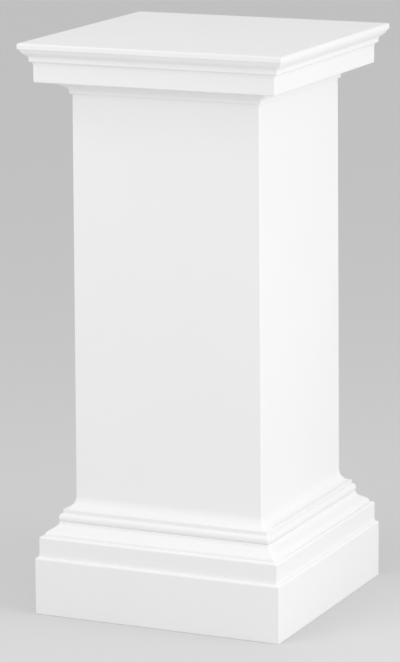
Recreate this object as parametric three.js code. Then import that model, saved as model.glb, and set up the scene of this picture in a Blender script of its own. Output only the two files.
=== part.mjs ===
// Square column pedestal, cast in one piece: a moulded base, a plain shaft and a moulded cap.
// Millimetres, +Z up, with the origin at the centre of the underside.
import * as THREE from "three";
import { toCreasedNormals } from "three/addons/utils/BufferGeometryUtils.js";

// Overall sizes
const pedestalHeight = 700;
const shaftFootWidth = 245.8;
const shaftHeadWidth = 242.4;

// Base mouldings, from the ground up. A projection is how far a moulding stands out past the one above it
const plinthHeight = 71.2;
const plinthProjection = 4;
const bandCoveWidth = 1.4;
const bandCoveHeight = 6.4;
const bandHeight = 25.7;
const bandProjection = 5;
const ogeeSeatHeight = 0.9;
const ogeeHeight = 14.4;
const ogeeProjection = 13.2;
const ogeeEase = 0.45;
const ogeeFilletHeight = 1.1;
const ogeeHeadProjection = 4;
const quirkWidth = 2;
const beadHeight = 10;
const beadProjection = 4.2;
const baseFilletHeight = 4.8;
const baseCavettoWidth = 12.2;
const baseCavettoHeight = 16;

// Cap mouldings, from the shaft up. A projection is how far a moulding stands out past the one below it
const listelHeight = 4.2;
const listelProjection = 2.9;
const bedHollowWidth = 9.4;
const bedHollowHeight = 7;
const bedFilletHeight = 4.4;
const fasciaHeight = 19.2;
const fasciaProjection = 21.9;
const capCavettoWidth = 2.4;
const capCavettoHeight = 5.7;
const capFilletHeight = 3.2;
const capFilletProjection = 4;
const ovoloHollowWidth = 2.2;
const ovoloHollowHeight = 4.6;
const ovoloWidth = 6.4;
const ovoloHeight = 8;
const topFilletProjection = 1.6;
const topFilletHeight = 7.1;

// Softened edges of the casting
const uprightEdgeRadius = 1.6;
const footEdgeRadius = 0.8;
const plinthEdgeRadius = 2.6;
const bandEdgeRadius = 2.4;
const ogeeEdgeRadius = 0.9;
const listelEdgeRadius = 0.8;
const fasciaEdgeRadius = 2;
const capFilletEdgeRadius = 1.5;
const topFilletEdgeRadius = 0.6;
const topEdgeRadius = 2.2;

// Slopes at the ends of the flatter curves
const quarterTurn = Math.PI / 2;
const halfTurn = Math.PI;
const bedHollowTilt = THREE.MathUtils.degToRad(20);
const ovoloFootTilt = THREE.MathUtils.degToRad(30);
const ovoloHeadTilt = THREE.MathUtils.degToRad(18);

// Fineness of the curved faces, and the angle from which an edge between two facets shows
const facetDepth = 0.05;
const ogeeFacets = 12;
const creaseAngle = THREE.MathUtils.degToRad(32);

const whitePaint = new THREE.MeshStandardMaterial({ color: 0xf1f1ef, roughness: 0.55, metalness: 0 });

// Half-widths of the faces, outwards from the shaft
const shaftFoot = shaftFootWidth / 2;
const baseFillet = shaftFoot + baseCavettoWidth;
const ogeeHead = baseFillet + ogeeHeadProjection;
const beadSeat = ogeeHead - quirkWidth;
const ogeeFoot = ogeeHead + ogeeProjection;
const band = ogeeFoot + bandProjection;
const bandCoveFoot = band + bandCoveWidth;
const plinth = band + plinthProjection;
const shaftHead = shaftHeadWidth / 2;
const listel = shaftHead + listelProjection;
const bedFillet = listel + bedHollowWidth;
const fascia = bedFillet + fasciaProjection;
const capCavettoHead = fascia + capCavettoWidth;
const capFillet = fascia + capFilletProjection;
const ovoloFoot = capFillet + ovoloHollowWidth;
const ovoloHead = ovoloFoot + ovoloWidth;
const topFillet = ovoloHead + topFilletProjection;

// Heights of the base's edges, from the ground up
const bandStart = plinthHeight;
const bandCoveEnd = bandStart + bandCoveHeight;
const bandEnd = bandStart + bandHeight;
const ogeeStart = bandEnd + ogeeSeatHeight;
const ogeeEnd = ogeeStart + ogeeHeight;
const quirkStart = ogeeEnd + ogeeFilletHeight;
const beadEnd = quirkStart + beadHeight;
const baseFilletEnd = beadEnd + baseFilletHeight;
const baseCavettoEnd = baseFilletEnd + baseCavettoHeight;

// Heights of the cap's edges, from the top down
const topFilletStart = pedestalHeight - topFilletHeight;
const ovoloStart = topFilletStart - ovoloHeight;
const ovoloHollowStart = ovoloStart - ovoloHollowHeight;
const capFilletStart = ovoloHollowStart - capFilletHeight;
const fasciaEnd = capFilletStart - capCavettoHeight;
const fasciaStart = fasciaEnd - fasciaHeight;
const bedFilletStart = fasciaStart - bedFilletHeight;
const bedHollowStart = bedFilletStart - bedHollowHeight;
const listelStart = bedHollowStart - listelHeight;

// One corner of the section: its half-width, its height and the radius that rounds it
function corner(halfWidth, height, radius = 0) {
  return { at: new THREE.Vector2(halfWidth, height), radius };
}

// Facets that keep an arc within the facet depth
function facetsInArc(radius, turn) {
  const widestFacet = 2 * Math.acos(1 - Math.min(facetDepth / radius, 1));
  return Math.max(2, Math.ceil(turn / widestFacet));
}

// The arc of the corner's radius that touches both of its sides
function roundedCorner(before, { at, radius }, after) {
  const back = before.at.clone().sub(at).normalize();
  const ahead = after.at.clone().sub(at).normalize();
  const halfAngle = Math.acos(back.dot(ahead)) / 2;
  const toCentre = back.clone().add(ahead).setLength(radius / Math.sin(halfAngle));
  const centre = at.clone().add(toCentre);
  const start = at.clone().addScaledVector(back, radius / Math.tan(halfAngle));
  const turn = (Math.PI - 2 * halfAngle) * Math.sign(ahead.cross(back));
  const facets = facetsInArc(radius, Math.abs(turn));
  return Array.from({ length: facets + 1 }, (_, i) =>
    start.clone().rotateAround(centre, (turn * i) / facets));
}

// The outline between the first corner and the last, each corner on the way rounded by its own radius
function roundedOutline(corners) {
  return corners.slice(1, -1).flatMap((each, i) =>
    each.radius > 0 ? roundedCorner(corners[i], each, corners[i + 2]) : [each.at]);
}

// Part of an ellipse between two spots. The angles, anticlockwise from straight outwards, say which part
function sweep(fromOut, fromUp, toOut, toUp, startAngle, endAngle) {
  const reach = (toOut - fromOut) / (Math.cos(endAngle) - Math.cos(startAngle));
  const rise = (toUp - fromUp) / (Math.sin(endAngle) - Math.sin(startAngle));
  const centreOut = fromOut - reach * Math.cos(startAngle);
  const centreUp = fromUp - rise * Math.sin(startAngle);
  const clockwise = startAngle > endAngle;
  const curve = new THREE.EllipseCurve(centreOut, centreUp, reach, rise, startAngle, endAngle, clockwise);
  return curve.getPoints(facetsInArc(Math.max(reach, rise), Math.abs(endAngle - startAngle)));
}

// The ogee's face: it leaves the ledge upright, leans in over the band and ends upright under the bead
function ogeeOutline() {
  const lean = ogeeHeight * ogeeEase;
  const curve = new THREE.CubicBezierCurve(
    new THREE.Vector2(ogeeFoot, ogeeStart),
    new THREE.Vector2(ogeeFoot, ogeeStart + lean),
    new THREE.Vector2(ogeeHead, ogeeEnd - lean),
    new THREE.Vector2(ogeeHead, ogeeEnd),
  );
  return curve.getPoints(ogeeFacets);
}

// Section of every face, from the underside out, up the mouldings and in over the top
function mouldedSection() {
  const beadSeatAngle = Math.acos((beadSeat - baseFillet) / beadProjection);
  return [
    ...roundedOutline([
      corner(0, 0),
      corner(plinth, 0, footEdgeRadius),
      corner(plinth, bandStart, plinthEdgeRadius),
      corner(bandCoveFoot, bandStart),
    ]),
    ...sweep(bandCoveFoot, bandStart, band, bandCoveEnd, -quarterTurn, -halfTurn),
    ...roundedOutline([
      corner(band, bandCoveEnd),
      corner(band, bandEnd, bandEdgeRadius),
      corner(ogeeFoot, bandEnd),
      corner(ogeeFoot, ogeeStart),
    ]),
    ...ogeeOutline(),
    ...roundedOutline([
      corner(ogeeHead, ogeeEnd),
      corner(ogeeHead, quirkStart, ogeeEdgeRadius),
      corner(beadSeat, quirkStart),
    ]),
    ...sweep(beadSeat, quirkStart, baseFillet, beadEnd, -beadSeatAngle, quarterTurn),
    ...sweep(baseFillet, baseFilletEnd, shaftFoot, baseCavettoEnd, -quarterTurn, -halfTurn),
    ...roundedOutline([
      corner(shaftFoot, baseCavettoEnd),
      corner(shaftHead, listelStart),
      corner(listel, listelStart, listelEdgeRadius),
      corner(listel, bedHollowStart),
    ]),
    ...sweep(
      listel, bedHollowStart, bedFillet, bedFilletStart,
      halfTurn - bedHollowTilt, quarterTurn + bedHollowTilt,
    ),
    ...roundedOutline([
      corner(bedFillet, bedFilletStart),
      corner(bedFillet, fasciaStart),
      corner(fascia, fasciaStart, fasciaEdgeRadius),
      corner(fascia, fasciaEnd),
    ]),
    ...sweep(fascia, fasciaEnd, capCavettoHead, capFilletStart, halfTurn, quarterTurn),
    ...roundedOutline([
      corner(capCavettoHead, capFilletStart),
      corner(capFillet, capFilletStart, capFilletEdgeRadius),
      corner(capFillet, ovoloHollowStart),
    ]),
    ...sweep(capFillet, ovoloHollowStart, ovoloFoot, ovoloStart, halfTurn, quarterTurn + ovoloFootTilt),
    ...sweep(ovoloFoot, ovoloStart, ovoloHead, topFilletStart, ovoloFootTilt - quarterTurn, -ovoloHeadTilt)
      .slice(1),
    ...roundedOutline([
      corner(ovoloHead, topFilletStart),
      corner(topFillet, topFilletStart, topFilletEdgeRadius),
      corner(topFillet, pedestalHeight, topEdgeRadius),
      corner(0, pedestalHeight),
    ]),
  ];
}

// Plan of the pedestal at one level: a square of the given half-width with softened upright edges
function squarePlan(halfWidth) {
  const facets = facetsInArc(uprightEdgeRadius, quarterTurn);
  const centre = halfWidth - uprightEdgeRadius;
  const plan = [];
  for (let side = 0; side < 4; side += 1) {
    for (let i = 0; i <= facets; i += 1) {
      const middle = new THREE.Vector2(centre, centre).rotateAround(new THREE.Vector2(), side * quarterTurn);
      const turn = (side + i / facets) * quarterTurn;
      plan.push(middle.add(new THREE.Vector2(uprightEdgeRadius, 0).rotateAround(new THREE.Vector2(), turn)));
    }
  }
  return plan;
}

// Closed skin that carries the square plan up the section, with a flat underside and a flat top
function mitredSkin(levels) {
  const plans = levels.map((level) => squarePlan(level.x));
  const count = plans[0].length;
  const positions = plans.flatMap((plan, i) => plan.flatMap((spot) => [spot.x, spot.y, levels[i].y]));

  const faces = [];
  const lastLevel = (levels.length - 1) * count;
  for (const [a, b, c] of THREE.ShapeUtils.triangulateShape(plans[0], [])) faces.push(a, c, b);
  for (const flat of THREE.ShapeUtils.triangulateShape(plans.at(-1), [])) {
    faces.push(...flat.map((i) => lastLevel + i));
  }
  for (let low = 0; low < lastLevel; low += count) {
    const high = low + count;
    for (let i = 0; i < count; i += 1) {
      const next = (i + 1) % count;
      faces.push(low + i, low + next, high + next);
      faces.push(low + i, high + next, high + i);
    }
  }

  const geometry = new THREE.BufferGeometry();
  geometry.setAttribute("position", new THREE.Float32BufferAttribute(positions, 3));
  geometry.setIndex(faces);
  return toCreasedNormals(geometry, creaseAngle);
}

const pedestal = new THREE.Mesh(mitredSkin(mouldedSection()), whitePaint);
pedestal.name = "pedestal";

const columnPedestal = new THREE.Group();
columnPedestal.add(pedestal);

export default columnPedestal;
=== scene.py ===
"""Column pedestal: a white moulded casting with a square base, a plain shaft and a moulded cap.

The section of the mouldings is a short list of corners. A Geometry Nodes tree rounds the corners and carries
the section round the square plan, mitred at the four upright edges. It stands in a plain studio. Lengths are
in metres, apart from the defaults of the length properties, which are written in millimetres.
"""

import math
from collections import namedtuple

import bmesh
import bpy
from bpy.props import FloatProperty, FloatVectorProperty, IntProperty, PointerProperty
from mathutils import Matrix, Vector
from mathutils.geometry import interpolate_bezier


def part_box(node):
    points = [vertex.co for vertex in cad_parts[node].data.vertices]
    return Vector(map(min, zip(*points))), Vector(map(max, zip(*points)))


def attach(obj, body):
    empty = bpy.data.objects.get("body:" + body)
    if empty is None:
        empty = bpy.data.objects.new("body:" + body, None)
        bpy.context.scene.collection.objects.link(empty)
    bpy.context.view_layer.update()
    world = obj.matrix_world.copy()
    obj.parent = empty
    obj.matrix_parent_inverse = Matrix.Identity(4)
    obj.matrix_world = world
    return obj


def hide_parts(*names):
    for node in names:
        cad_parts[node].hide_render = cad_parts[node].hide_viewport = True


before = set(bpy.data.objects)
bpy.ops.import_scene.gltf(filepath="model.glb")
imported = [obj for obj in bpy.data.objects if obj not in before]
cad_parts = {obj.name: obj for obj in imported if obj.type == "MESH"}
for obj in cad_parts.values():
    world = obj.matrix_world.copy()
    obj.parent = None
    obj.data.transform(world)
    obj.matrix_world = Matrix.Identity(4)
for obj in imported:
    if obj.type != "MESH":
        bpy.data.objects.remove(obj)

bl_info = {
    "name": "Column Pedestal",
    "version": (1, 0, 0),
    "blender": (4, 5, 0),
    "location": "3D View > Sidebar > Pedestal",
    "description": "Makes a square moulded column pedestal and a plain studio to look at it in",
    "category": "Add Mesh",
}

NODE = "pedestal"
PIECE = "pedestal_casting"
CASTING_LOW, CASTING_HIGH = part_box(NODE)
CASTING_SIZE = CASTING_HIGH - CASTING_LOW

MILLIMETRE = 0.001
MERGE_DISTANCE = 1e-6
QUARTER_TURN = math.pi / 2
HALF_TURN = math.pi
OGEE_POINTS = 32

# Paint wears cleaner on the edges that stand out and are sharper than this
RUBBED_RADIUS = 3 * MILLIMETRE

# Strips of facets along each side of the square plan: a narrow one, the wide middle one and a narrow one
STRIPS_ALONG_SIDE = 3
STRIPS_BEFORE_MIDDLE = 1

# Keeps a whole number on its own step when it is rounded or compared
HALF_STEP = 0.5

# How nodes are laid out in a tree
NODE_COLUMN_WIDTH = 200
NODE_ROW_HEIGHT = 220
NODES_IN_COLUMN = 4


def length(name, description, millimetres, precision=4):
    """A length property whose default is given in millimetres."""
    return FloatProperty(name=name, description=description, default=millimetres * MILLIMETRE,
                         min=0.0, unit="LENGTH", precision=precision)


def share(name, description, default):
    """A plain number from 0 to 1."""
    return FloatProperty(name=name, description=description, default=default, min=0.0, max=1.0,
                         subtype="FACTOR", precision=3)


def angle(name, description, degrees):
    """An angle property whose default is given in degrees."""
    return FloatProperty(name=name, description=description, default=math.radians(degrees),
                         min=0.0, max=QUARTER_TURN, subtype="ANGLE")


def colour(name, description, default):
    """A colour without alpha."""
    return FloatVectorProperty(name=name, description=description, default=default, size=3,
                               min=0.0, max=1.0, subtype="COLOR")


def power(name, description, watts):
    """The strength of a lamp."""
    return FloatProperty(name=name, description=description, default=watts, min=0.0, unit="POWER")


class PedestalSizes(bpy.types.PropertyGroup):
    """Sizes of the casting, from the ground up."""
    height: length("Height", "From the floor to the flat top", CASTING_SIZE.z / MILLIMETRE)
    cap_width: length("Cap Width", "Across the top fillet", CASTING_SIZE.x / MILLIMETRE)
    shaft_taper: length("Shaft Taper", "How far each face of the shaft leans in from foot to head", 1.7)

    plinth_height: length("Plinth Height", "Straight block at the ground", 71.2)
    plinth_projection: length("Plinth Projection", "How far the plinth stands out past the band", 4)
    band_cove_width: length("Band Cove Width", "How far the small hollow at the band's foot runs out", 1.4)
    band_cove_height: length("Band Cove Height", "How far the small hollow at the band's foot runs up", 6.4)
    band_height: length("Band Height", "Flat band over the plinth", 25.7)
    band_projection: length("Band Projection", "How far the band stands out past the ogee's foot", 5)
    ogee_seat_height: length("Ogee Seat Height", "Upright step between the band and the ogee", 0.9)
    ogee_height: length("Ogee Height", "Rise of the ogee", 14.4)
    ogee_projection: length("Ogee Projection", "How far the ogee's foot stands out past its head", 13.2)
    ogee_ease: share("Ogee Ease", "Share of the ogee's height that each end takes to lean", 0.45)
    ogee_fillet_height: length("Ogee Fillet Height", "Upright fillet over the ogee", 1.1)
    ogee_head_projection: length("Ogee Head Projection", "How far the ogee's head stands past the fillet", 4)
    quirk_width: length("Quirk Width", "Narrow ledge between the ogee's head and the bead", 2)
    bead_height: length("Bead Height", "Bead over the ledge", 10)
    bead_projection: length("Bead Projection", "How far the bead stands out past the fillet over it", 4.2)
    base_fillet_height: length("Base Fillet Height", "Upright fillet over the bead", 4.8)
    base_cavetto_width: length("Base Cavetto Width", "How far the hollow under the shaft runs out", 12.2)
    base_cavetto_height: length("Base Cavetto Height", "How far the hollow under the shaft runs up", 16)

    listel_height: length("Listel Height", "Narrow upright member at the shaft's head", 4.2)
    listel_projection: length("Listel Projection", "How far the listel stands out past the shaft", 2.9)
    bed_hollow_width: length("Bed Hollow Width", "How far the hollow over the listel runs out", 9.4)
    bed_hollow_height: length("Bed Hollow Height", "How far the hollow over the listel runs up", 7)
    bed_hollow_tilt: angle("Bed Hollow Tilt", "Slope at both ends of the hollow over the listel", 20)
    bed_fillet_height: length("Bed Fillet Height", "Upright fillet under the cap's soffit", 4.4)
    fascia_height: length("Fascia Height", "Flat face of the cap", 19.2)
    fascia_projection: length("Fascia Projection", "How far the fascia stands out past the bed fillet", 21.9)
    cap_cavetto_width: length("Cap Cavetto Width", "How far the small hollow over the fascia runs out", 2.4)
    cap_cavetto_height: length("Cap Cavetto Height", "How far the small hollow over the fascia runs up", 5.7)
    cap_fillet_projection: length("Cap Fillet Projection", "How far the cap fillet stands past the fascia", 4)
    cap_fillet_height: length("Cap Fillet Height", "Upright fillet over the small hollow", 3.2)
    ovolo_hollow_width: length("Ovolo Hollow Width", "How far the hollow under the ovolo runs out", 2.2)
    ovolo_hollow_height: length("Ovolo Hollow Height", "How far the hollow under the ovolo runs up", 4.6)
    ovolo_width: length("Ovolo Width", "How far the ovolo runs out", 6.4)
    ovolo_height: length("Ovolo Height", "Ovolo under the top fillet", 8)
    ovolo_foot_tilt: angle("Ovolo Foot Tilt", "Slope where the hollow turns into the ovolo", 30)
    ovolo_head_tilt: angle("Ovolo Head Tilt", "Lean of the ovolo's head", 18)
    top_fillet_projection: length("Top Fillet Projection", "How far the top fillet stands out", 1.6)
    top_fillet_height: length("Top Fillet Height", "Upright edge of the top", 7.1)

    upright_edge_radius: length("Upright Edge Radius", "Softened mitres at the four corners", 1.6)
    foot_edge_radius: length("Foot Edge Radius", "Lower edge of the plinth", 0.8)
    plinth_edge_radius: length("Plinth Edge Radius", "Upper edge of the plinth", 2.6)
    band_edge_radius: length("Band Edge Radius", "Upper edge of the band", 2.4)
    ogee_edge_radius: length("Ogee Edge Radius", "Edge of the narrow ledge over the ogee", 0.9)
    listel_edge_radius: length("Listel Edge Radius", "Lower edge of the listel", 0.8)
    fillet_edge_radius: length("Fillet Edge Radius", "Sharper edges where a fillet meets a hollow", 0.3)
    fascia_edge_radius: length("Fascia Edge Radius", "Lower edge of the fascia", 2)
    cap_fillet_edge_radius: length("Cap Fillet Edge Radius", "Lower edge of the cap fillet", 1.5)
    top_fillet_edge_radius: length("Top Fillet Edge Radius", "Lower edge of the top fillet", 0.6)
    top_edge_radius: length("Top Edge Radius", "Upper edge of the top", 2.2)
    paint_fill_radius: length("Paint Fill Radius", "Paint that softens the inner corners", 0.4)

    facet_depth: length("Facet Depth", "How far a facet may lie inside its curve", 0.004, precision=6)
    support_distance: length("Support Distance", "Width of the strip beside each softened edge", 0.6)
    upright_edge_facets: IntProperty(name="Upright Edge Facets", description="Facets round each mitre",
                                     default=12, min=2)


class PaintLook(bpy.types.PropertyGroup):
    """The sprayed white paint."""
    white: colour("White", "Colour of the paint on the flat faces", (0.86, 0.86, 0.86))
    mottle: share("Mottle", "How far the white varies in soft patches", 0.012)
    patch_size: length("Patch Size", "Width of the soft patches", 140)
    edge_lift: share("Edge Lift", "How much cleaner the paint is on rubbed edges", 0.01)
    roughness: share("Roughness", "Mean roughness of the paint", 0.5)
    roughness_change: share("Roughness Change", "How far the roughness varies", 0.06)
    sheen: share("Sheen", "How strongly the paint reflects", 0.4)
    peel_size: length("Peel Size", "Width of the dimples that spraying leaves", 2.4)
    peel_depth: length("Peel Depth", "Depth of the dimples that spraying leaves", 0.005)
    grain_size: length("Grain Size", "Width of the fine grain in the matt coat", 0.45)
    grain_depth: length("Grain Depth", "Depth of the fine grain", 0.0015)


class StudioLook(bpy.types.PropertyGroup):
    """The floor, the light and the camera."""
    floor_colour: colour("Floor Colour", "Pale paper that the pedestal stands on", (0.65, 0.65, 0.65))
    floor_mottle: share("Floor Mottle", "How far the floor's colour varies in soft patches", 0.004)
    floor_patch_size: length("Floor Patch Size", "Width of the floor's soft patches", 600)
    floor_roughness: share("Floor Roughness", "Mean roughness of the paper", 0.9)
    floor_roughness_change: share("Floor Roughness Change", "How far the paper's roughness varies", 0.03)
    floor_width: length("Floor Width", "Side of the square floor", 60000)
    world_strength: FloatProperty(name="Room Light", description="Even light from all round",
                                  default=0.785, min=0.0)
    front_power: power("Front Light", "Soft light in front, a little to the left, higher than the cap", 4.3)
    high_power: power("High Light", "Soft light to the left, far above the cap", 4.2)
    low_power: power("Low Light", "Soft light at the right, level with the shaft", 4.6)
    right_power: power("Right Light", "Soft light at the right, higher than the cap", 3.3)


# Corner of the moulded section: where it lies, and the radius that softens it
Corner = namedtuple("Corner", "half_width height radius")


def turning(before, at, after):
    """Angle that the section turns through at a corner, more than zero where the corner stands out."""
    arriving = Vector((at.half_width - before.half_width, at.height - before.height))
    leaving = Vector((after.half_width - at.half_width, after.height - at.height))
    return -arriving.angle_signed(leaving, 0)


def sweep(sizes, first, last, start, end):
    """Corners along part of an ellipse. The angles, anticlockwise from straight outwards, say which part."""
    reach = (last[0] - first[0]) / (math.cos(end) - math.cos(start))
    rise = (last[1] - first[1]) / (math.sin(end) - math.sin(start))
    facet = 2 * math.acos(1 - sizes.facet_depth / max(reach, rise))
    count = math.ceil(abs(end - start) / facet)
    angles = [start + (end - start) * i / count for i in range(count + 1)]
    return [Corner(first[0] + reach * (math.cos(angle) - math.cos(start)),
                   first[1] + rise * (math.sin(angle) - math.sin(start)), 0) for angle in angles]


def ogee(sizes, first, last):
    """Corners of an ogee that leaves the first spot upright and ends upright at the last."""
    foot, head = Vector((*first, 0)), Vector((*last, 0))
    lean = Vector((0, sizes.ogee_ease * sizes.ogee_height, 0))
    points = interpolate_bezier(foot, foot + lean, head - lean, head, OGEE_POINTS)
    return [Corner(point.x, point.y, 0) for point in points]


def section_corners(sizes):
    """Corners of the section, from the underside's centre out, up the mouldings and in to the top's centre.

    A hollow leaves out its end points where a rounded corner takes their place.
    """
    soft = sizes.paint_fill_radius
    narrow_soft = soft / 2

    top_fillet = sizes.cap_width / 2
    ovolo_head = top_fillet - sizes.top_fillet_projection
    ovolo_foot = ovolo_head - sizes.ovolo_width
    cap_fillet = ovolo_foot - sizes.ovolo_hollow_width
    fascia = cap_fillet - sizes.cap_fillet_projection
    cap_cavetto_head = fascia + sizes.cap_cavetto_width
    bed_fillet = fascia - sizes.fascia_projection
    listel = bed_fillet - sizes.bed_hollow_width
    shaft_head = listel - sizes.listel_projection
    shaft_foot = shaft_head + sizes.shaft_taper
    base_fillet = shaft_foot + sizes.base_cavetto_width
    ogee_head = base_fillet + sizes.ogee_head_projection
    bead_seat = ogee_head - sizes.quirk_width
    ogee_foot = ogee_head + sizes.ogee_projection
    band = ogee_foot + sizes.band_projection
    band_cove_foot = band + sizes.band_cove_width
    plinth = band + sizes.plinth_projection

    band_start = sizes.plinth_height
    band_cove_end = band_start + sizes.band_cove_height
    band_end = band_start + sizes.band_height
    ogee_start = band_end + sizes.ogee_seat_height
    ogee_end = ogee_start + sizes.ogee_height
    quirk_start = ogee_end + sizes.ogee_fillet_height
    bead_end = quirk_start + sizes.bead_height
    base_fillet_end = bead_end + sizes.base_fillet_height
    base_cavetto_end = base_fillet_end + sizes.base_cavetto_height

    top = sizes.height
    top_fillet_start = top - sizes.top_fillet_height
    ovolo_start = top_fillet_start - sizes.ovolo_height
    ovolo_hollow_start = ovolo_start - sizes.ovolo_hollow_height
    cap_fillet_start = ovolo_hollow_start - sizes.cap_fillet_height
    fascia_end = cap_fillet_start - sizes.cap_cavetto_height
    fascia_start = fascia_end - sizes.fascia_height
    bed_fillet_start = fascia_start - sizes.bed_fillet_height
    bed_hollow_start = bed_fillet_start - sizes.bed_hollow_height
    listel_start = bed_hollow_start - sizes.listel_height

    bead_seat_angle = math.acos((bead_seat - base_fillet) / sizes.bead_projection)

    return [
        Corner(0, 0, 0),
        Corner(plinth, 0, sizes.foot_edge_radius),
        Corner(plinth, band_start, sizes.plinth_edge_radius),
        *sweep(sizes, (band_cove_foot, band_start), (band, band_cove_end), -QUARTER_TURN, -HALF_TURN),
        Corner(band, band_end, sizes.band_edge_radius),
        Corner(ogee_foot, band_end, narrow_soft),
        *ogee(sizes, (ogee_foot, ogee_start), (ogee_head, ogee_end)),
        Corner(ogee_head, quirk_start, sizes.ogee_edge_radius),
        *sweep(sizes, (bead_seat, quirk_start), (base_fillet, bead_end), -bead_seat_angle, QUARTER_TURN),
        Corner(base_fillet, base_fillet_end, sizes.fillet_edge_radius),
        *sweep(sizes, (base_fillet, base_fillet_end), (shaft_foot, base_cavetto_end),
               -QUARTER_TURN, -HALF_TURN)[2:],
        Corner(shaft_head, listel_start, soft),
        Corner(listel, listel_start, sizes.listel_edge_radius),
        *sweep(sizes, (listel, bed_hollow_start), (bed_fillet, bed_fillet_start),
               HALF_TURN - sizes.bed_hollow_tilt, QUARTER_TURN + sizes.bed_hollow_tilt)[:-2],
        Corner(bed_fillet, bed_fillet_start, sizes.fillet_edge_radius),
        Corner(bed_fillet, fascia_start, soft),
        Corner(fascia, fascia_start, sizes.fascia_edge_radius),
        *sweep(sizes, (fascia, fascia_end), (cap_cavetto_head, cap_fillet_start), HALF_TURN, QUARTER_TURN),
        Corner(cap_fillet, cap_fillet_start, sizes.cap_fillet_edge_radius),
        *sweep(sizes, (cap_fillet, ovolo_hollow_start), (ovolo_foot, ovolo_start),
               HALF_TURN, QUARTER_TURN + sizes.ovolo_foot_tilt),
        *sweep(sizes, (ovolo_foot, ovolo_start), (ovolo_head, top_fillet_start),
               sizes.ovolo_foot_tilt - QUARTER_TURN, -sizes.ovolo_head_tilt)[1:],
        Corner(top_fillet, top_fillet_start, sizes.top_fillet_edge_radius),
        Corner(top_fillet, top, sizes.top_edge_radius),
        Corner(0, top, 0),
    ]


def add_supports(corners, distance):
    """Adds a corner near each end of every long straight face, so that its shading stays flat."""
    supported = [corners[0]]
    for i in range(1, len(corners)):
        start, end = corners[i - 1], corners[i]
        first, last = Vector(start[:2]), Vector(end[:2])
        run = (last - first).length
        used = [0 if at.radius == 0 else at.radius * math.tan(abs(turning(*corners[n - 1:n + 2])) / 2)
                for n, at in ((i - 1, start), (i, end))]
        from_start, from_end = used[0] + distance, used[1] + distance
        if run > from_start + from_end + 2 * distance:
            supported.append(Corner(*first.lerp(last, from_start / run), 0))
            supported.append(Corner(*last.lerp(first, from_end / run), 0))
        supported.append(end)
    return supported


def make_section(corners):
    """A mesh line through the corners. Attributes carry each corner's radius, and where paint is rubbed."""
    mesh = bpy.data.meshes.new("section")
    spots = [(corner.half_width, 0, corner.height) for corner in corners]
    mesh.from_pydata(spots, [(i, i + 1) for i in range(len(spots) - 1)], [])
    radius = mesh.attributes.new("edge_radius", "FLOAT", "POINT")
    radius.data.foreach_set("value", [corner.radius for corner in corners])
    rubbed = mesh.attributes.new("rubbed", "FLOAT", "POINT")
    for i, corner in enumerate(corners[1:-1], start=1):
        stands_out = corner.radius > 0 and turning(*corners[i - 1:i + 2]) > 0
        rubbed.data[i].value = 1.0 if stands_out and corner.radius < RUBBED_RADIUS else 0.0
    section = bpy.data.objects.new("section", mesh)
    bpy.context.scene.collection.objects.link(section)
    return section


class Nodes:
    """Adds nodes to a tree. Each node's settings are made first, then its inputs are wired or set by name."""

    def __init__(self, tree):
        self.tree = tree
        self.count = 0

    def add(self, kind, inputs=None, **settings):
        node = self.tree.nodes.new(kind)
        node.location = (NODE_COLUMN_WIDTH * (self.count // NODES_IN_COLUMN),
                         -NODE_ROW_HEIGHT * (self.count % NODES_IN_COLUMN))
        self.count += 1
        for name, value in settings.items():
            setattr(node, name, value)
        for name, value in (inputs or {}).items():
            if isinstance(value, bpy.types.NodeSocket):
                self.tree.links.new(value, node.inputs[name])
            else:
                node.inputs[name].default_value = value
        return node

    def maths(self, operation, *values):
        """A Math node's result."""
        return self.add("ShaderNodeMath", dict(enumerate(values)), operation=operation).outputs[0]

    def socket(self, name, kind, direction="INPUT", **settings):
        """An input or output of a node group."""
        socket = self.tree.interface.new_socket(name, in_out=direction, socket_type=kind)
        for key, value in settings.items():
            setattr(socket, key, value)
        return socket


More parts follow.
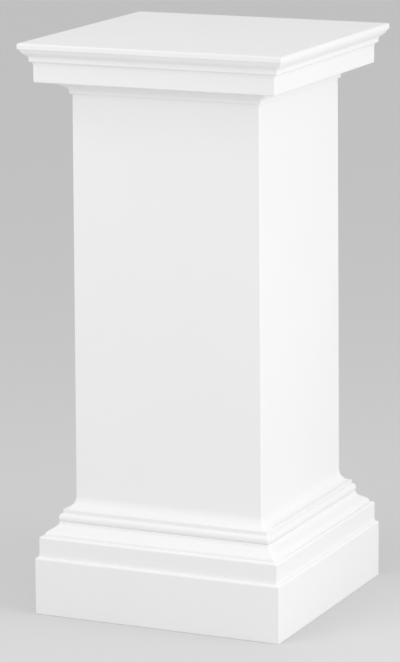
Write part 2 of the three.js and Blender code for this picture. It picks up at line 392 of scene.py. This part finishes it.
def square_moulding_tree():
    """Rounds a section's corners and carries it round a square plan with softened mitres."""
    tree = bpy.data.node_groups.new("Square Moulding", "GeometryNodeTree")
    nodes = Nodes(tree)
    nodes.socket("Geometry", "NodeSocketGeometry")
    nodes.socket("Facet Depth", "NodeSocketFloat", subtype="DISTANCE")
    nodes.socket("Upright Edge Radius", "NodeSocketFloat", subtype="DISTANCE")
    nodes.socket("Upright Edge Facets", "NodeSocketInt")
    nodes.socket("Support Distance", "NodeSocketFloat", subtype="DISTANCE")
    nodes.socket("Material", "NodeSocketMaterial")
    nodes.socket("Geometry", "NodeSocketGeometry", "OUTPUT")
    given = nodes.add("NodeGroupInput").outputs

    # The rounded section, as a line of points. A facet of length l lies l * l / 8 / radius inside its arc
    line = nodes.add("GeometryNodeMeshToCurve", {"Mesh": given["Geometry"]})
    radius = nodes.add("GeometryNodeInputNamedAttribute", {"Name": "edge_radius"}, data_type="FLOAT")
    quarter_facets = QUARTER_TURN / math.sqrt(8)
    shape = nodes.maths("SQRT", nodes.maths("DIVIDE", radius.outputs["Attribute"], given["Facet Depth"]))
    facets = nodes.maths("CEIL", nodes.maths("MULTIPLY", shape, quarter_facets))
    rounded = nodes.add("GeometryNodeFilletCurve", {
        "Curve": line.outputs["Curve"], "Count": facets, "Radius": radius.outputs["Attribute"],
        "Limit Radius": False}, mode="POLY")
    outline = nodes.add("GeometryNodeCurveToMesh", {"Curve": rounded.outputs["Curve"]}).outputs["Mesh"]
    levels = nodes.add("GeometryNodeAttributeDomainSize", {"Geometry": outline}).outputs["Point Count"]

    # A sheet with one column for each place round the plan and one row for each point of the section
    per_side = nodes.maths("ADD", given["Upright Edge Facets"], STRIPS_ALONG_SIDE)
    columns = nodes.maths("MULTIPLY_ADD", per_side, 4, 1)
    sheet = nodes.add("GeometryNodeMeshGrid", {"Vertices X": columns, "Vertices Y": levels}).outputs["Mesh"]
    index = nodes.add("GeometryNodeInputIndex").outputs["Index"]
    column = nodes.maths("FLOOR", nodes.maths("DIVIDE", nodes.maths("ADD", index, HALF_STEP), levels))
    level = nodes.maths("SUBTRACT", index, nodes.maths("MULTIPLY", column, levels))
    position = nodes.add("GeometryNodeInputPosition").outputs["Position"]
    spot = nodes.add("GeometryNodeSampleIndex", {"Geometry": outline, "Value": position, "Index": level},
                     data_type="FLOAT_VECTOR", domain="POINT").outputs["Value"]
    rubbed = nodes.add("GeometryNodeInputNamedAttribute", {"Name": "rubbed"}, data_type="FLOAT")
    level_edge = nodes.add("GeometryNodeSampleIndex", {
        "Geometry": outline, "Value": rubbed.outputs["Attribute"], "Index": level},
        data_type="FLOAT", domain="POINT").outputs["Value"]
    separated = nodes.add("ShaderNodeSeparateXYZ", {"Vector": spot})
    half_width, height = separated.outputs["X"], separated.outputs["Z"]

    # How far along its side of the square each column lies, and how far round the mitre
    side = nodes.maths("FLOOR", nodes.maths("DIVIDE", nodes.maths("ADD", column, HALF_STEP), per_side))
    step = nodes.maths("SUBTRACT", column, nodes.maths("MULTIPLY", side, per_side))
    arc = nodes.maths("MINIMUM", step, given["Upright Edge Facets"])
    strip = nodes.maths("SUBTRACT", step, arc)
    turn = nodes.maths("MULTIPLY", nodes.maths("DIVIDE", arc, given["Upright Edge Facets"]), QUARTER_TURN)
    edge = nodes.maths("MINIMUM", given["Upright Edge Radius"], half_width)
    reach = nodes.maths("SUBTRACT", half_width, edge)
    run = nodes.maths("MULTIPLY", reach, 2)
    widest = nodes.maths("DIVIDE", run, STRIPS_ALONG_SIDE)
    support = nodes.maths("MINIMUM", given["Support Distance"], widest)
    middle = nodes.maths("SUBTRACT", run, nodes.maths("MULTIPLY", support, STRIPS_ALONG_SIDE))
    past_middle = nodes.maths("GREATER_THAN", strip, STRIPS_BEFORE_MIDDLE + HALF_STEP)
    along = nodes.maths("MULTIPLY_ADD", past_middle, middle, nodes.maths("MULTIPLY", strip, support))
    side_end = nodes.maths("SUBTRACT", reach, along)
    across = nodes.maths("MULTIPLY_ADD", nodes.maths("COSINE", turn), edge, side_end)
    out = nodes.maths("MULTIPLY_ADD", nodes.maths("SINE", turn), edge, reach)
    on_first_side = nodes.add("ShaderNodeCombineXYZ", {"X": across, "Y": out, "Z": height})
    placed = nodes.add("ShaderNodeVectorRotate", {
        "Vector": on_first_side.outputs["Vector"], "Angle": nodes.maths("MULTIPLY", side, QUARTER_TURN)},
        rotation_type="Z_AXIS")
    skin = nodes.add("GeometryNodeSetPosition", {"Geometry": sheet, "Position": placed.outputs["Vector"]})

    # The softened edges are marked for the paint
    upright = nodes.maths("COMPARE", strip, 0, HALF_STEP)
    soft_edge = nodes.maths("MAXIMUM", upright, level_edge)
    marked = nodes.add("GeometryNodeStoreNamedAttribute", {
        "Geometry": skin.outputs["Geometry"], "Name": "soft_edge", "Value": soft_edge},
        data_type="FLOAT", domain="POINT")
    closed = nodes.add("GeometryNodeMergeByDistance", {
        "Geometry": marked.outputs["Geometry"], "Distance": MERGE_DISTANCE})
    smooth = nodes.add("GeometryNodeSetShadeSmooth", {"Geometry": closed.outputs["Geometry"]})
    real = nodes.add("GeometryNodeRealizeInstances", {"Geometry": smooth.outputs["Geometry"]})
    painted = nodes.add("GeometryNodeSetMaterial", {
        "Geometry": real.outputs["Geometry"], "Material": given["Material"]})
    nodes.add("NodeGroupOutput", {"Geometry": painted.outputs["Geometry"]})
    return tree


def run_tree(base, tree, inputs, name):
    """A plain mesh object with the tree's result. The base object and the modifier are gone afterwards."""
    modifier = base.modifiers.new(tree.name, "NODES")
    modifier.node_group = tree
    for item in tree.interface.items_tree:
        if item.in_out == "INPUT" and item.name in inputs:
            modifier[item.identifier] = inputs[item.name]
    depsgraph = bpy.context.evaluated_depsgraph_get()
    mesh = bpy.data.meshes.new_from_object(base.evaluated_get(depsgraph), depsgraph=depsgraph)
    mesh.name = name
    bpy.data.objects.remove(base)
    made = bpy.data.objects.new(name, mesh)
    bpy.context.scene.collection.objects.link(made)
    return made


def require_closed(piece):
    """Stops the script if a piece has an open edge or is inside out."""
    shell = bmesh.new()
    shell.from_mesh(piece.data)
    loose = [edge for edge in shell.edges if not edge.is_manifold]
    volume = shell.calc_volume(signed=True)
    shell.free()
    if loose or volume <= 0:
        raise RuntimeError(f"{piece.name} has {len(loose)} open edges and encloses {volume:.4f} cubic metres")


def mottle_group():
    """Soft patches that change a colour and a roughness a little."""
    tree = bpy.data.node_groups.get("Soft Mottle")
    if tree:
        return tree
    tree = bpy.data.node_groups.new("Soft Mottle", "ShaderNodeTree")
    nodes = Nodes(tree)
    nodes.socket("Vector", "NodeSocketVector")
    nodes.socket("Colour", "NodeSocketColor")
    nodes.socket("Amount", "NodeSocketFloat")
    nodes.socket("Patch Size", "NodeSocketFloat")
    nodes.socket("Roughness", "NodeSocketFloat")
    nodes.socket("Roughness Change", "NodeSocketFloat")
    nodes.socket("Colour", "NodeSocketColor", "OUTPUT")
    nodes.socket("Roughness", "NodeSocketFloat", "OUTPUT")
    given = nodes.add("NodeGroupInput").outputs
    scale = nodes.maths("DIVIDE", 1, given["Patch Size"])
    patches = nodes.add("ShaderNodeTexNoise", {
        "Vector": given["Vector"], "Scale": scale, "Detail": 3, "Roughness": 0.5}).outputs["Fac"]
    signed = nodes.maths("MULTIPLY_ADD", patches, 2, -1)
    brightness = nodes.maths("MULTIPLY_ADD", signed, given["Amount"], 1)
    toned = nodes.add("ShaderNodeVectorMath", {0: given["Colour"], "Scale": brightness}, operation="SCALE")
    rough = nodes.maths("MULTIPLY_ADD", signed, given["Roughness Change"], given["Roughness"])
    nodes.add("NodeGroupOutput", {"Colour": toned.outputs["Vector"], "Roughness": rough})
    return tree


def new_material(name):
    """An empty node material and its node helper."""
    material = bpy.data.materials.new(name)
    material.use_nodes = True
    material.node_tree.nodes.clear()
    return material, Nodes(material.node_tree)


def mottled_colour(nodes, place, colour, amount, patch_size, roughness, roughness_change):
    """A Soft Mottle group in a material's tree."""
    return nodes.add("ShaderNodeGroup", node_tree=mottle_group(), inputs={
        "Vector": place, "Colour": (*colour, 1), "Amount": amount, "Patch Size": patch_size,
        "Roughness": roughness, "Roughness Change": roughness_change})


def white_paint(look):
    """Sprayed white paint with a low sheen, cleaner on the softened edges."""
    material, nodes = new_material("Sprayed White Paint")
    place = nodes.add("ShaderNodeTexCoord").outputs["Object"]
    mottled = mottled_colour(nodes, place, look.white, look.mottle, look.patch_size,
                             look.roughness, look.roughness_change)
    soft_edge = nodes.add("ShaderNodeAttribute", attribute_name="soft_edge").outputs["Fac"]
    lifted = nodes.maths("MULTIPLY_ADD", soft_edge, look.edge_lift, 1)
    tone = nodes.add("ShaderNodeVectorMath", {0: mottled.outputs["Colour"], "Scale": lifted},
                     operation="SCALE")
    peel = nodes.add("ShaderNodeTexNoise", {
        "Vector": place, "Scale": 1 / look.peel_size, "Detail": 2, "Roughness": 0.4}).outputs["Fac"]
    grain = nodes.add("ShaderNodeTexNoise", {
        "Vector": place, "Scale": 1 / look.grain_size, "Detail": 2, "Roughness": 0.6}).outputs["Fac"]
    fine = nodes.maths("MULTIPLY", grain, look.grain_depth)
    relief = nodes.maths("MULTIPLY_ADD", peel, look.peel_depth, fine)
    bump = nodes.add("ShaderNodeBump", {"Height": relief, "Strength": 1, "Distance": 1})
    surface = nodes.add("ShaderNodeBsdfPrincipled", {
        "Base Color": tone.outputs["Vector"], "Roughness": mottled.outputs["Roughness"],
        "Normal": bump.outputs["Normal"]})
    surface.inputs["Specular IOR Level"].default_value = look.sheen
    nodes.add("ShaderNodeOutputMaterial", {"Surface": surface.outputs["BSDF"]})
    return material


def floor_paper(look):
    """Pale seamless paper."""
    material, nodes = new_material("Pale Paper")
    place = nodes.add("ShaderNodeTexCoord").outputs["Object"]
    mottled = mottled_colour(nodes, place, look.floor_colour, look.floor_mottle, look.floor_patch_size,
                             look.floor_roughness, look.floor_roughness_change)
    surface = nodes.add("ShaderNodeBsdfPrincipled", {
        "Base Color": mottled.outputs["Colour"], "Roughness": mottled.outputs["Roughness"]})
    nodes.add("ShaderNodeOutputMaterial", {"Surface": surface.outputs["BSDF"]})
    return material


class PEDESTAL_OT_make_casting(bpy.types.Operator):
    """Make the pedestal's casting from its moulded section"""
    bl_idname = "pedestal.make_casting"
    bl_label = "Make Casting"
    bl_options = {"REGISTER", "UNDO"}

    def execute(self, context):
        sizes = context.scene.pedestal_sizes
        section = make_section(add_supports(section_corners(sizes), sizes.support_distance))
        casting = run_tree(section, square_moulding_tree(), {
            "Facet Depth": sizes.facet_depth,
            "Upright Edge Radius": sizes.upright_edge_radius,
            "Upright Edge Facets": sizes.upright_edge_facets,
            "Support Distance": sizes.support_distance,
            "Material": white_paint(context.scene.pedestal_paint),
        }, PIECE)
        require_closed(casting)
        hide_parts(NODE)
        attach(casting, "root")
        return {"FINISHED"}


# A soft light: its bearing, from straight in front round to the right, and how high it hangs
Lamp = namedtuple("Lamp", "name bearing height")
FRONT = Lamp("front_light", math.radians(-20), 1.0)
HIGH = Lamp("high_light", math.radians(-50), 2.2)
LOW = Lamp("low_light", math.radians(75), 0.5)
RIGHT = Lamp("right_light", math.radians(90), 1.0)
LAMP_DISTANCE = 1.4
LAMP_SIDE = 0.8

# The camera: where it stands, how it is turned, pitched and rolled, and its focal length in millimetres
CAMERA_PLACE = Vector((1.6941, -3.7622, 1.2208))
CAMERA_YAW, CAMERA_PITCH, CAMERA_ROLL = math.radians(24.388), math.radians(12.128), math.radians(0.42)
LENS = 187.73


def add_lamp(lamp, watts, centre):
    """A square area light that faces the middle of the pedestal."""
    ahead = Vector((math.sin(lamp.bearing), -math.cos(lamp.bearing), 0))
    place = ahead * LAMP_DISTANCE + Vector((0, 0, lamp.height))
    light = bpy.data.lights.new(lamp.name, "AREA")
    light.shape = "SQUARE"
    light.size = LAMP_SIDE
    light.energy = watts
    lamp_object = bpy.data.objects.new(lamp.name, light)
    facing = (place - centre).to_track_quat("Z", "Y").to_matrix().to_4x4()
    lamp_object.matrix_world = Matrix.Translation(place) @ facing
    bpy.context.scene.collection.objects.link(lamp_object)


class PEDESTAL_OT_make_studio(bpy.types.Operator):
    """Make the floor, the soft light and the camera"""
    bl_idname = "pedestal.make_studio"
    bl_label = "Make Studio"
    bl_options = {"REGISTER", "UNDO"}

    def execute(self, context):
        look = context.scene.pedestal_studio
        scene = context.scene
        centre = (CASTING_LOW + CASTING_HIGH) / 2

        mesh = bpy.data.meshes.new("floor")
        half = look.floor_width / 2
        corners = [(-half, -half, 0), (half, -half, 0), (half, half, 0), (-half, half, 0)]
        mesh.from_pydata(corners, [], [(0, 1, 2, 3)])
        mesh.materials.append(floor_paper(look))
        floor = bpy.data.objects.new("floor", mesh)
        scene.collection.objects.link(floor)

        world = bpy.data.worlds.new("room")
        world.use_nodes = True
        background = world.node_tree.nodes["Background"]
        background.inputs["Color"].default_value = (1, 1, 1, 1)
        background.inputs["Strength"].default_value = look.world_strength
        scene.world = world
        for lamp, watts in ((FRONT, look.front_power), (HIGH, look.high_power),
                            (LOW, look.low_power), (RIGHT, look.right_power)):
            add_lamp(lamp, watts, centre)
        scene.view_settings.view_transform = "Standard"

        lens = bpy.data.cameras.new("camera")
        lens.lens = LENS
        camera = bpy.data.objects.new("camera", lens)
        turn = Matrix.Rotation(CAMERA_YAW, 4, "Z") @ Matrix.Rotation(QUARTER_TURN - CAMERA_PITCH, 4, "X")
        camera.matrix_world = Matrix.Translation(CAMERA_PLACE) @ turn @ Matrix.Rotation(-CAMERA_ROLL, 4, "Z")
        scene.collection.objects.link(camera)
        scene.camera = camera
        return {"FINISHED"}


class PEDESTAL_PT_panel(bpy.types.Panel):
    """Sizes, paint and studio of the pedestal"""
    bl_idname = "PEDESTAL_PT_panel"
    bl_label = "Column Pedestal"
    bl_space_type = "VIEW_3D"
    bl_region_type = "UI"
    bl_category = "Pedestal"

    def draw(self, context):
        groups = {
            "Casting": (context.scene.pedestal_sizes, PEDESTAL_OT_make_casting),
            "Paint": (context.scene.pedestal_paint, None),
            "Studio": (context.scene.pedestal_studio, PEDESTAL_OT_make_studio),
        }
        for label, (group, operator) in groups.items():
            box = self.layout.box()
            box.label(text=label)
            for name in group.__annotations__:
                box.prop(group, name)
            if operator:
                box.operator(operator.bl_idname)


SCENE_GROUPS = {"pedestal_sizes": PedestalSizes, "pedestal_paint": PaintLook, "pedestal_studio": StudioLook}
CLASSES = (*SCENE_GROUPS.values(), PEDESTAL_OT_make_casting, PEDESTAL_OT_make_studio, PEDESTAL_PT_panel)


def register():
    for each in CLASSES:
        bpy.utils.register_class(each)
    for name, group in SCENE_GROUPS.items():
        setattr(bpy.types.Scene, name, PointerProperty(type=group))


def unregister():
    for name in SCENE_GROUPS:
        delattr(bpy.types.Scene, name)
    for each in reversed(CLASSES):
        bpy.utils.unregister_class(each)


def main():
    register()
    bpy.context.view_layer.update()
    bpy.ops.pedestal.make_casting()
    bpy.ops.pedestal.make_studio()


if __name__ == "__main__":
    main()
